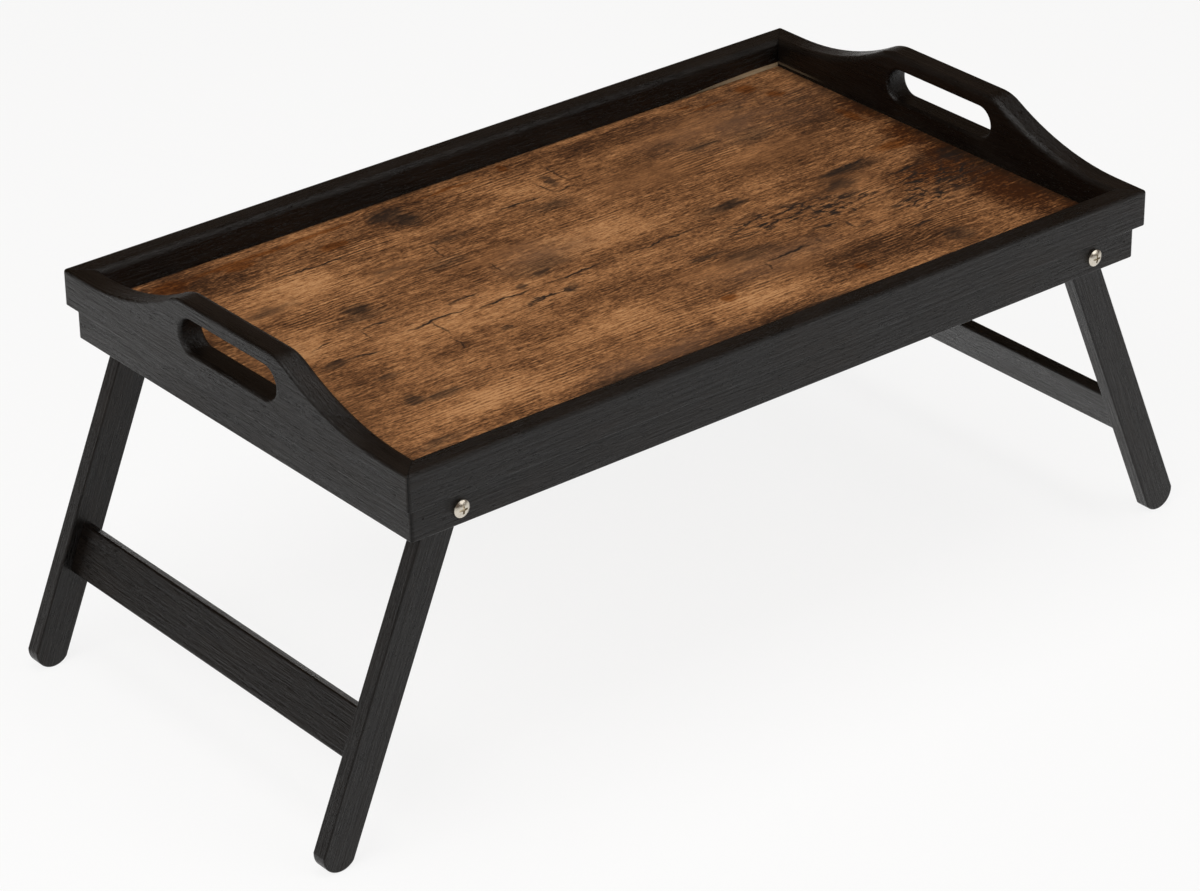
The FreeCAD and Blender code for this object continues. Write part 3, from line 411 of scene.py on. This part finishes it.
def printed_deck(deck):
    """A rustic plank print: a smeared ground, dashes, saw marks, cracks and stains under satin resin."""
    look = Finish("rustic_plank_print")
    place = look.place()
    x, y, _ = look.split(place)
    steady = look.join(x, y, 0.0)
    tangle = look.tangle(look.in_cells(place, PRINT_FRAYING))
    centred = look.vectors("SUBTRACT", tangle, (0.5, 0.5, 0.5))
    ragged = look.vectors("MULTIPLY_ADD", centred, RAGGED_STRAY, place)
    frayed = look.vectors("MULTIPLY_ADD", centred, FRAYED_STRAY, place)

    # the grain bends round the knots and sways a little
    grain_y = y
    for knot_x, knot_y, length, width in KNOTS:
        near = spots_on(look, steady, ((knot_x, knot_y, length * 2.2, width * 2.6),), 0.0)
        off = look.maths("SUBTRACT", y, knot_y * MM)
        pull = look.maths("MULTIPLY", look.maths("MULTIPLY", near, off), KNOT_PULL)
        grain_y = look.maths("ADD", grain_y, pull)
    sway = look.noise(look.in_cells(place, PRINT_SWAY), 2, 0.5)
    grain_y = look.maths("MULTIPLY_ADD", sway, 0.006, grain_y)
    grain = look.join(x, grain_y, 0.0)

    # the fine detail: streaks, dashes and grit, calmer where smeared and livelier where burnt
    calm = spots_on(look, ragged, CALM_AREAS, 0.2)
    burnt_end_and_shade = spots_on(look, frayed, BURNT_AREAS, 0.2)
    streaks = look.noise(look.in_cells(grain, PRINT_STREAKS), 3, 0.6)
    dashes = look.noise(look.in_cells(grain, PRINT_DASHES), 2, 0.6)
    grit = look.noise(look.in_cells(place, PRINT_GRIT), 2, 0.6)
    detail = 0.0
    for layer, weight in ((streaks, 0.70), (dashes, 1.04), (grit, 0.90)):
        detail = look.maths("ADD", detail, look.maths("MULTIPLY_ADD", layer, weight, -weight / 2))
    lively = look.maths("MULTIPLY_ADD", burnt_end_and_shade, 0.95, look.spread(calm, 0.0, 1.0, 1.0, 0.50))
    detail = look.maths("MULTIPLY", detail, lively)

    # regular saw marks, broken up and only in some areas
    sawn = spots_on(look, ragged, SAWN_AREAS, 0.3)
    ripple = look.maths("SINE", look.maths("MULTIPLY", grain_y, 2 * math.pi / deck.saw_pitch))
    broken = look.noise(look.in_cells(place, PRINT_SAW_BREAKS, centre=(0.1, 0.7, 0)), 2, 0.6)
    marks = look.maths("MULTIPLY", ripple, look.spread(broken, 0.34, 0.58))
    marks = look.maths("MULTIPLY", marks, look.spread(sawn, 0.0, 1.0, 0.02, 0.17))

    # how light the wood is, from wide bands and mottling down to the detail
    bands = look.noise(look.in_cells(grain, PRINT_BANDS), 3, 0.6)
    mottle = look.noise(look.in_cells(grain, PRINT_MOTTLE, centre=(0.7, 0.1, 0)), 4, 0.66)
    tone = look.maths("MULTIPLY_ADD", bands, 0.55, 0.50 - 0.275)
    tone = look.maths("ADD", tone, look.maths("MULTIPLY_ADD", mottle, 0.62, -0.31))
    tone = look.maths("MULTIPLY_ADD", spots_on(look, ragged, SUNLIT_AREAS, 0.0), SUNLIT_LIFT, tone)
    tone = look.maths("MULTIPLY_ADD", spots_on(look, ragged, DUSKY_AREAS, 0.0), DUSKY_LIFT, tone)
    tone = look.maths("MULTIPLY_ADD", burnt_end_and_shade, BURNT_LIFT, tone)
    tone = look.maths("ADD", look.maths("ADD", tone, detail), marks)
    steps = ((0.10, deck.fibre_dark), (0.34, deck.shade), (0.52, deck.ground), (0.70, deck.sunlit),
             (0.90, deck.fibre_light))
    colour = look.ramp(tone, steps)
    # greyer areas: worn grey in the print, and at the back right partly a painted greyish sheen
    greyed_and_sheen = look.maths("MULTIPLY", spots_on(look, ragged, GREYED_AND_SHEEN_AREAS, 0.0),
                        look.spread(mottle, 0.62, 0.38, 0.2, 0.70))
    colour = look.blend(greyed_and_sheen, colour, deck.weathered_and_sheen)

    # stains, their edges torn along the fibres
    torn_edge = look.spread(streaks, 0.36, 0.64, 1.05, 0.70)
    smoke = look.maths("MULTIPLY", spots_on(look, ragged, SMOKY_PATCHES, 0.10), torn_edge)
    under_stain = look.spread(tone, 0.15, 0.85, smooth=False)
    colour = look.blend(look.maths("MULTIPLY", smoke, SMOKE_COVER), colour,
                        look.blend(under_stain, deck.blot, deck.smoke))
    amber = look.maths("MULTIPLY", burnt_end_and_shade, BURNT_AMBER)
    amber = look.maths("MAXIMUM", amber, spots_on(look, frayed, AMBER_STAINS, 0.40))
    colour = look.blend(look.maths("MULTIPLY", amber, AMBER_COVER), colour,
                        look.blend(under_stain, deck.amber_dark, deck.amber))
    blots = look.maths("MULTIPLY", spots_on(look, frayed, DARK_BLOTS, 0.45), torn_edge)
    colour = look.blend(look.maths("MULTIPLY", blots, BLOT_COVER), colour,
                        look.blend(under_stain, deck.crack, deck.blot_light))

    # cracks, dark dashes and pits, drawn over the stains
    cracks = crack_lines(look, place, x, y)
    crazed = spots_on(look, ragged, CRAZED_AREAS, 0.3)
    cells = look.vectors("MULTIPLY_ADD", centred, CRACK_NET_STRAY, place)
    net_cells = {"Vector": look.in_cells(cells, PRINT_CRACK_NET), "Scale": 1.0}
    net = look.node("ShaderNodeTexVoronoi", net_cells, feature="DISTANCE_TO_EDGE").outputs["Distance"]
    torn = look.noise(look.in_cells(place, PRINT_TEARS, centre=(0.9, 0.2, 0)), 3, 0.6)
    net = look.maths("MULTIPLY", look.spread(net, 0.05, 0.16, 1.0, 0.0), look.spread(torn, 0.43, 0.53))
    net = look.maths("MULTIPLY", net, crazed)
    short = look.noise(look.in_cells(grain, PRINT_SHORT_CRACKS, centre=(0.5, 0.5, 0)), 1, 0.5)
    short = look.spread(short, 0.58, 0.66)
    short = look.maths("MULTIPLY", short, look.spread(crazed, 0.0, 1.0, 0.22, 1.0))
    pit_cells = {"Vector": look.in_cells(place, PRINT_PITS), "Scale": 1.0}
    pits = look.node("ShaderNodeTexVoronoi", pit_cells, feature="F1").outputs["Distance"]
    pits = look.maths("MULTIPLY", look.spread(pits, 0.08, 0.17, 1.0, 0.0), look.spread(torn, 0.48, 0.54))
    pitted = spots_on(look, ragged, PITTED_AREAS, 0.2)
    pits = look.maths("MULTIPLY", pits, look.spread(pitted, 0.0, 1.0, 0.05, 0.80))
    lines = look.maths("MAXIMUM", look.maths("MAXIMUM", cracks, net), look.maths("MAXIMUM", short, pits))
    colour = look.blend(lines, colour, deck.crack)

    # painted shade: a ragged dark band along the right hand end wall, and a narrow painted contact shade
    # along all the walls but the left one
    from_end = look.maths("SUBTRACT", DECK_HIGH.x, x)
    right_wall_shade = look.spread(look.maths("MULTIPLY_ADD", mottle, -0.012, from_end), -0.006, 0.004, 0.60, 0.0)
    from_side = look.maths("SUBTRACT", DECK_HIGH.y, look.maths("ABSOLUTE", y))
    wall_contact_shade = look.spread(look.maths("MINIMUM", from_end, from_side), 0.0, 0.0026, 0.62, 0.0)
    colour = look.blend(look.maths("MAXIMUM", right_wall_shade, wall_contact_shade), colour, deck.burnt_end_and_shade)

    gloss = look.spread(bands, 0.3, 0.7, deck.gloss - 0.04, deck.gloss + 0.05)
    gloss = look.maths("MULTIPLY_ADD", lines, 0.14, gloss)
    height = look.maths("MULTIPLY_ADD", streaks, 0.5, look.maths("MULTIPLY", dashes, 0.5))
    look.shader.inputs["Specular IOR Level"].default_value = RESIN_LEVEL
    return look.finish(colour, gloss, height, deck.relief, 0.5)


def crack_lines(look, place, x, y):
    """The long cracks with the grain and the short ones across it."""
    wander_x = look.noise(look.in_cells(place, (1, 0.010, 1)), 3, 0.6)
    wander_y = look.noise(look.in_cells(place, (0.014, 0.040, 1)), 3, 0.6)
    bent_y = look.maths("MULTIPLY_ADD", look.maths("SUBTRACT", wander_y, 0.5), 0.009, y)
    bent_x = look.maths("MULTIPLY_ADD", look.maths("SUBTRACT", wander_x, 0.5), 0.008, x)
    with_grain = look.join(x, bent_y, 0.0)
    across = look.join(bent_x, y, 0.0)
    long_ones = [(cx, cy, length, thick * 2) for cx, cy, length, thick in LONG_CRACKS]
    short_ones = [(cx, cy, thick * 2, length) for cx, cy, length, thick in CROSS_CRACKS]
    lines = look.maths("MAXIMUM", spots_on(look, with_grain, long_ones, 0.3),
                       look.maths("MULTIPLY", spots_on(look, across, short_ones, 0.3), 0.75))
    faded = look.noise(look.in_cells(place, (0.007, 0.007, 1)), 2, 0.5)
    return look.maths("MULTIPLY", lines, look.spread(faded, 0.34, 0.52, 0.55, 1.0))


def bare_board(name):
    """The deck board's pale fibre core."""
    look = Finish(name)
    place = look.place()
    chips = look.noise(look.in_cells(place, (0.0022, 0.0009, 0.0009)), 3, 0.6)
    clouds = look.noise(look.in_cells(place, (0.050, 0.050, 0.050)), 2, 0.5)
    colour = look.blend(look.spread(chips, 0.35, 0.70), (0.64, 0.54, 0.40), (0.50, 0.38, 0.25))
    colour = look.blend(look.spread(clouds, 0.4, 0.7, 0.0, 0.3), colour, (0.44, 0.34, 0.23))
    return look.finish(colour, look.spread(chips, 0.3, 0.7, 0.72, 0.86), chips, 0.0001, 0.5)


# ---------------------------------------------------------------- metal and plastic


def plated(name, colour, gloss, streaks=0.03):
    """Plated steel with a faint turned grain and a few dull spots."""
    look = Finish(name)
    place = look.place()
    dull = look.noise(look.in_cells(place, (0.0016, 0.0016, 0.0016)), 3, 0.6)
    turned = look.noise(look.in_cells(place, (0.0030, 0.00022, 0.0030)), 2, 0.5)
    shade = tuple(channel * 0.82 for channel in colour)
    tint = look.blend(look.spread(dull, 0.42, 0.70, 0.0, 0.6), colour, shade)
    worn = look.spread(dull, 0.35, 0.70, gloss - 0.04, gloss + 0.09)
    worn = look.maths("MULTIPLY_ADD", turned, streaks, worn)
    look.shader.inputs["Metallic"].default_value = 1.0
    return look.finish(tint, worn, turned, 0.00002, 0.35)


def moulded_nylon(name, colour):
    """Nylon with a fine moulded skin."""
    look = Finish(name)
    place = look.place()
    skin = look.noise(look.in_cells(place, (0.0007, 0.0007, 0.0007)), 2, 0.6)
    cloudy = look.noise(look.in_cells(place, (0.004, 0.004, 0.004)), 2, 0.5)
    shade = tuple(channel * 0.84 for channel in colour)
    tint = look.blend(look.spread(cloudy, 0.35, 0.70), colour, shade)
    return look.finish(tint, look.spread(skin, 0.3, 0.7, 0.42, 0.54), skin, 0.00003, 0.4)


# ---------------------------------------------------------------- settings


def colour_of(name, description, default):
    return FloatVectorProperty(name=name, description=description, subtype="COLOR", size=3,
                               min=0.0, max=1.0, default=default)


def length_of(name, description, default):
    return FloatProperty(name=name, description=description, unit="LENGTH", subtype="DISTANCE",
                         min=0.0, precision=5, default=default)


def share_of(name, description, default):
    return FloatProperty(name=name, description=description, subtype="FACTOR",
                         min=0.0, max=1.0, default=default)


class TrayWood(bpy.types.PropertyGroup):
    """The black stained wood of the boards and the legs."""

    stain: colour_of("Stain", "Colour of the stain on plain wood", (0.0062, 0.0043, 0.0031))
    stain_dark: colour_of("Dense Stain", "Stain where the fibres took up more", (0.0030, 0.0021, 0.0016))
    stain_worn: colour_of("Thin Stain", "Stain where it was rubbed thinner", (0.0160, 0.0117, 0.0088))
    stain_pores: colour_of("Pores", "Colour inside the pores and joints", (0.0018, 0.0013, 0.0010))
    raw: colour_of("Raw Wood", "Bare wood that the stain missed", (0.560, 0.430, 0.270))
    gloss: share_of("Roughness", "Roughness of the satin lacquer", 0.29)
    lacquer: share_of("Lacquer", "Strength of the lacquer's reflection", 0.26)
    relief: length_of("Grain Relief", "Depth of the grain under the lacquer", 0.0006)


class TrayDeck(bpy.types.PropertyGroup):
    """The printed sheet and the board that carries it."""

    ground: colour_of("Ground", "Middle brown of the print", (0.208, 0.091, 0.035))
    shade: colour_of("Shaded Bands", "Darker brown beside the ground", (0.094, 0.039, 0.015))
    sunlit: colour_of("Light Bands", "Lighter, yellower bands", (0.360, 0.166, 0.064))
    # also the colour of the painted greyish sheen at the deck's back right
    weathered_and_sheen: colour_of("Weathered", "Greyer brown of worn areas", (0.140, 0.071, 0.038))
    fibre_dark: colour_of("Dark Fibres", "The darkest fibres", (0.026, 0.011, 0.005))
    fibre_light: colour_of("Light Fibres", "The lightest fibres", (0.490, 0.252, 0.108))
    smoke: colour_of("Smoke", "Grey brown of the smoky patches", (0.105, 0.056, 0.029))
    amber: colour_of("Amber", "Orange brown of the stains, where lightest", (0.205, 0.062, 0.010))
    amber_dark: colour_of("Dark Amber", "The same stains over dark fibres", (0.045, 0.012, 0.002))
    blot: colour_of("Blots", "Dark blots and knots", (0.014, 0.007, 0.004))
    blot_light: colour_of("Light in Blots", "Light fibres inside the blots", (0.060, 0.031, 0.016))
    crack: colour_of("Cracks", "Colour inside the printed cracks", (0.016, 0.010, 0.007))
    # the colour of the painted shade along the deck's right hand end and its walls
    burnt_end_and_shade: colour_of("Burnt End", "Dark streaks at the right hand end", (0.022, 0.011, 0.005))
    gloss: share_of("Roughness", "Roughness of the printed sheet", 0.46)
    saw_pitch: length_of("Saw Pitch", "Distance from one saw mark to the next", 0.0026)
    relief: length_of("Emboss", "Depth of the embossed grain", 0.00006)
    edge_ease: length_of("Edge Easing", "Easing along the sheet's upper edge", 0.00015)


class TrayStage(bpy.types.PropertyGroup):
    """Lamps, floor and surroundings."""

    key_power: FloatProperty(name="Key Lamp", description="Power of the large lamp at the left",
                             subtype="POWER", min=0.0, default=27.0)
    fill_power: FloatProperty(name="Fill Lamp", description="Power of the wide lamp at the right",
                              subtype="POWER", min=0.0, default=15.0)
    top_power: FloatProperty(name="Top Lamp", description="Power of the lamp overhead",
                             subtype="POWER", min=0.0, default=27.0)
    floor_tone: colour_of("Floor", "Colour of the pale floor", (0.86, 0.86, 0.85))
    surround: colour_of("Surroundings", "Colour of the dim studio above the horizon", (0.080, 0.054, 0.036))


SETTINGS = {"tray_wood": TrayWood, "tray_deck": TrayDeck, "tray_stage": TrayStage}


# ---------------------------------------------------------------- pieces


def piece_from(name, mesh, material, body, slot, *replaced):
    """Puts a finished mesh in the scene as a piece riding on a body."""
    piece = bpy.data.objects.new(name, mesh)
    bpy.context.scene.collection.objects.link(piece)
    mesh.materials.append(material)
    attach(piece, body)
    if replaced:
        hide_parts(*replaced)
    return piece


def mesh_of(name, shape, smooth_angle=math.radians(35)):
    """A mesh from a bmesh, with smooth faces and sharp corners."""
    bmesh.ops.recalc_face_normals(shape, faces=shape.faces)
    mesh = bpy.data.meshes.new(name)
    shape.to_mesh(mesh)
    shape.free()
    mesh.shade_smooth()
    mesh.set_sharp_from_angle(angle=smooth_angle)
    return mesh


class TRAY_OT_stain_boards(bpy.types.Operator):
    """Stain and lacquer the four boards round the deck"""

    bl_idname = "tray.stain_boards"
    bl_label = "Stain Side Boards"

    def execute(self, context):
        wood = context.scene.tray_wood
        rails = stained_wood("stained_rails", wood, mitred=True, pale_foot=missed_along_rail)
        put_on(rails, *SIDE_BOARDS)
        across = (0, 0, math.pi / 2)
        panels = stained_wood("stained_end_panels", wood, across, mitred=True, pale_foot=pale_strip_along_panel)
        put_on(panels, *END_PANELS)
        return {"FINISHED"}


class TRAY_OT_stain_legs(bpy.types.Operator):
    """Stain and lacquer the four legs and the two cross bars"""

    bl_idname = "tray.stain_legs"
    bl_label = "Stain Leg Frames"

    def execute(self, context):
        wood = context.scene.tray_wood
        splay = leg_splay()
        put_on(stained_wood("stained_left_legs", wood, (0, math.pi / 2 + splay, 0)), *LEFT_LEGS)
        put_on(stained_wood("stained_right_legs", wood, (0, math.pi / 2 - splay, 0)), *RIGHT_LEGS)
        put_on(stained_wood("stained_cross_bars", wood, (0, 0, math.pi / 2)), *CROSS_BARS)
        return {"FINISHED"}


def leg_splay():
    """The angle between an open leg and upright, from its pivot to the middle of its foot."""
    low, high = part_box("right_front_leg")
    screw_low, screw_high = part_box("right_front_pivot_screw")
    pivot_x = (screw_low.x + screw_high.x) / 2
    pivot_z = (screw_low.z + screw_high.z) / 2
    half_foot = pivot_x - low.x
    return math.atan2(high.x - half_foot - pivot_x, pivot_z - low.z - half_foot)


class TRAY_OT_lay_sheet(bpy.types.Operator):
    """Lay the printed sheet on the deck board"""

    bl_idname = "tray.lay_sheet"
    bl_label = "Lay Printed Sheet"

    def execute(self, context):
        deck = context.scene.tray_deck
        shape = bmesh.new()
        outline = ((DECK_LOW.x, DECK_LOW.y), (DECK_HIGH.x, DECK_LOW.y),
                   (DECK_HIGH.x, DECK_HIGH.y), (DECK_LOW.x, DECK_HIGH.y))
        corners = [shape.verts.new((x, y, DECK_LOW.z)) for x, y in outline]
        under = shape.faces.new(corners)
        grown = bmesh.ops.extrude_face_region(shape, geom=[under])["geom"]
        top = [item for item in grown if isinstance(item, bmesh.types.BMVert)]
        bmesh.ops.translate(shape, verts=top, vec=(0, 0, DECK_HIGH.z - DECK_LOW.z))
        upper = [edge for edge in shape.edges if all(v.co.z > DECK_LOW.z + 1e-6 for v in edge.verts)]
        bmesh.ops.bevel(shape, geom=upper, offset=deck.edge_ease, segments=3, affect="EDGES")
        sheet = mesh_of("printed_sheet", shape)
        piece_from("printed_sheet", sheet, printed_deck(deck), "tray", "rustic_laminate", "deck_laminate")
        put_on(bare_board("fibre_core"), "deck_board")
        return {"FINISHED"}


class TRAY_OT_plate_fittings(bpy.types.Operator):
    """Plate the pivot screws, lock nuts, washers and corner brads"""

    bl_idname = "tray.plate_fittings"
    bl_label = "Plate Fittings"

    def execute(self, context):
        corners = [f"{side}_{end}" for side in ("left", "right") for end in ("front", "back")]
        nickel = plated("bright_nickel", (0.66, 0.61, 0.52), 0.26)
        zinc = plated("dull_zinc", (0.62, 0.64, 0.66), 0.34)
        put_on(nickel, *[f"{corner}_pivot_screw" for corner in corners])
        put_on(zinc, *[f"{corner}_lock_nut" for corner in corners], "nut_washers")
        put_on(plated("blackened_brads", (0.016, 0.014, 0.013), 0.50), "corner_brads")
        put_on(moulded_nylon("black_nylon", (0.050, 0.050, 0.050)), "spacer_washers")
        put_on(moulded_nylon("milky_nylon", (0.80, 0.80, 0.78)), "lock_nut_rings")
        return {"FINISHED"}


# ---------------------------------------------------------------- stage


def pale_floor(stage):
    """A matt pale floor, white to the camera apart from the tray's soft shadow, and open from below."""
    look = Finish("pale_floor")
    place = look.place()
    mottle = look.noise(look.in_cells(place, (0.30, 0.30, 1)), 3, 0.5)
    shade = tuple(channel * 0.985 for channel in stage.floor_tone)
    colour = look.blend(mottle, stage.floor_tone, shade)
    look.finish(colour, 0.95)
    look.shader.inputs["Specular IOR Level"].default_value = 0.0
    path = look.node("ShaderNodeLightPath").outputs
    away = look.vectors("LENGTH", look.vectors("MULTIPLY", place, (1, 1, 0)))
    mirrored = look.maths("MULTIPLY", path["Is Glossy Ray"], look.spread(away, *FLOOR_MIRRORED))
    seen = look.maths("MAXIMUM", path["Is Camera Ray"], mirrored)
    seen = look.maths("MAXIMUM", seen, path["Is Transmission Ray"])
    white = look.node("ShaderNodeEmission", {"Color": (1, 1, 1, 1), "Strength": 1.0}).outputs[0]
    seen = look.maths("MULTIPLY", seen, FLOOR_WHITENESS)
    lit = look.node("ShaderNodeMixShader", {0: seen, 1: look.shader.outputs[0], 2: white}).outputs[0]
    behind = look.node("ShaderNodeNewGeometry").outputs["Backfacing"]
    open_below = look.maths("MULTIPLY", behind, path["Is Camera Ray"])
    clear = look.node("ShaderNodeBsdfTransparent").outputs[0]
    whole = look.node("ShaderNodeMixShader", {0: open_below, 1: lit, 2: clear}).outputs[0]
    look.feed(look.tree.nodes["Material Output"].inputs["Surface"], whole)
    return look.material


def lay_floor(stage):
    shape = bmesh.new()
    signs = ((-1, -1), (1, -1), (1, 1), (-1, 1))
    corners = [shape.verts.new((x * FLOOR_HALF, y * FLOOR_HALF, 0)) for x, y in signs]
    shape.faces.new(corners)
    mesh = bpy.data.meshes.new("floor")
    shape.to_mesh(mesh)
    shape.free()
    mesh.materials.append(pale_floor(stage))
    floor = bpy.data.objects.new("floor", mesh)
    bpy.context.scene.collection.objects.link(floor)


def facing(azimuth, elevation):
    """The unit vector from the tray towards something seen from that side."""
    level = math.cos(elevation)
    return Vector((math.sin(azimuth) * level, -math.cos(azimuth) * level, math.sin(elevation)))


def hang_lamp(name, azimuth, elevation, distance, width, height, power):
    """A large soft lamp that looks at the tray; angles in degrees, power in watts."""
    data = bpy.data.lights.new(name, "AREA")
    data.shape = "RECTANGLE"
    data.size = width
    data.size_y = height
    data.energy = power
    lamp = bpy.data.objects.new(name, data)
    bpy.context.scene.collection.objects.link(lamp)
    towards = facing(math.radians(azimuth), math.radians(elevation))
    lamp.location = LAMPS_LOOK_AT + towards * distance
    lamp.rotation_mode = "QUATERNION"
    lamp.rotation_quaternion = towards.to_track_quat("Z", "Y")


def dim_studio(stage):
    """Surroundings that are white below the horizon and dim above it."""
    world = bpy.data.worlds.new("studio")
    world.use_nodes = True
    bpy.context.scene.world = world
    tree = world.node_tree
    where = tree.nodes.new("ShaderNodeTexCoord").outputs["Generated"]
    split = tree.nodes.new("ShaderNodeSeparateXYZ")
    tree.links.new(where, split.inputs[0])
    rise = tree.nodes.new("ShaderNodeMapRange")
    rise.interpolation_type = "SMOOTHSTEP"
    rise.inputs["From Min"].default_value = HORIZON[0]
    rise.inputs["From Max"].default_value = HORIZON[1]
    tree.links.new(split.outputs["Z"], rise.inputs["Value"])
    air = tree.nodes.new("ShaderNodeMix")
    air.data_type = "RGBA"
    air.inputs[6].default_value = (1, 1, 1, 1)
    air.inputs[7].default_value = opaque(stage.surround)
    tree.links.new(rise.outputs[0], air.inputs[0])
    tree.links.new(air.outputs[2], tree.nodes["Background"].inputs["Color"])


def place_camera():
    back = facing(CAMERA_AZIMUTH, CAMERA_ELEVATION)
    level = Vector((math.cos(CAMERA_AZIMUTH), math.sin(CAMERA_AZIMUTH), 0))
    upright = back.cross(level)
    right = level * math.cos(CAMERA_ROLL) + upright * math.sin(CAMERA_ROLL)
    up = back.cross(right)
    data = bpy.data.cameras.new("camera")
    data.sensor_fit = "HORIZONTAL"
    data.sensor_width = CAMERA_SENSOR
    data.lens = CAMERA_LENS
    data.clip_start = 0.05
    data.clip_end = 60.0
    camera = bpy.data.objects.new("camera", data)
    bpy.context.scene.collection.objects.link(camera)
    turned = Matrix((right, up, back)).transposed()
    camera.matrix_world = Matrix.Translation(CAMERA_TARGET + back * CAMERA_DISTANCE) @ turned.to_4x4()
    bpy.context.scene.camera = camera


class TRAY_OT_set_stage(bpy.types.Operator):
    """Lay the floor, hang the lamps and place the camera"""

    bl_idname = "tray.set_stage"
    bl_label = "Set Stage"

    def execute(self, context):
        stage = context.scene.tray_stage
        lay_floor(stage)
        dim_studio(stage)
        hang_lamp("key_lamp", -75, 42, 2.4, 1.8, 1.4, stage.key_power)
        hang_lamp("fill_lamp", 30, 30, 2.6, 2.0, 1.4, stage.fill_power)
        hang_lamp("top_lamp", 0, 86, 2.2, 1.6, 1.6, stage.top_power)
        place_camera()
        context.scene.view_settings.view_transform = "Standard"
        return {"FINISHED"}


# ---------------------------------------------------------------- panel and run

OPERATORS = (
    TRAY_OT_stain_boards,
    TRAY_OT_stain_legs,
    TRAY_OT_lay_sheet,
    TRAY_OT_plate_fittings,
    TRAY_OT_set_stage,
)


class TRAY_PT_looks(bpy.types.Panel):
    """Lists the tray's settings and the steps that use them"""

    bl_idname = "TRAY_PT_looks"
    bl_label = "Bed Tray"
    bl_space_type = "VIEW_3D"
    bl_region_type = "UI"
    bl_category = "Bed Tray"

    def draw(self, context):
        for name, group in SETTINGS.items():
            box = self.layout.box()
            box.label(text=group.__doc__)
            for setting in group.__annotations__:
                box.prop(getattr(context.scene, name), setting)
        for operator in OPERATORS:
            self.layout.operator(operator.bl_idname)


def register():
    for group in SETTINGS.values():
        bpy.utils.register_class(group)
    for name, group in SETTINGS.items():
        setattr(bpy.types.Scene, name, PointerProperty(type=group))
    for kind in (*OPERATORS, TRAY_PT_looks):
        bpy.utils.register_class(kind)


def unregister():
    for kind in (TRAY_PT_looks, *reversed(OPERATORS)):
        bpy.utils.unregister_class(kind)
    for name in SETTINGS:
        delattr(bpy.types.Scene, name)
    for group in SETTINGS.values():
        bpy.utils.unregister_class(group)


def main():
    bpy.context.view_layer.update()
    register()
    bpy.ops.tray.stain_boards()
    bpy.ops.tray.stain_legs()
    bpy.ops.tray.lay_sheet()
    bpy.ops.tray.plate_fittings()
    bpy.ops.tray.set_stage()


if __name__ == "__main__":
    main()
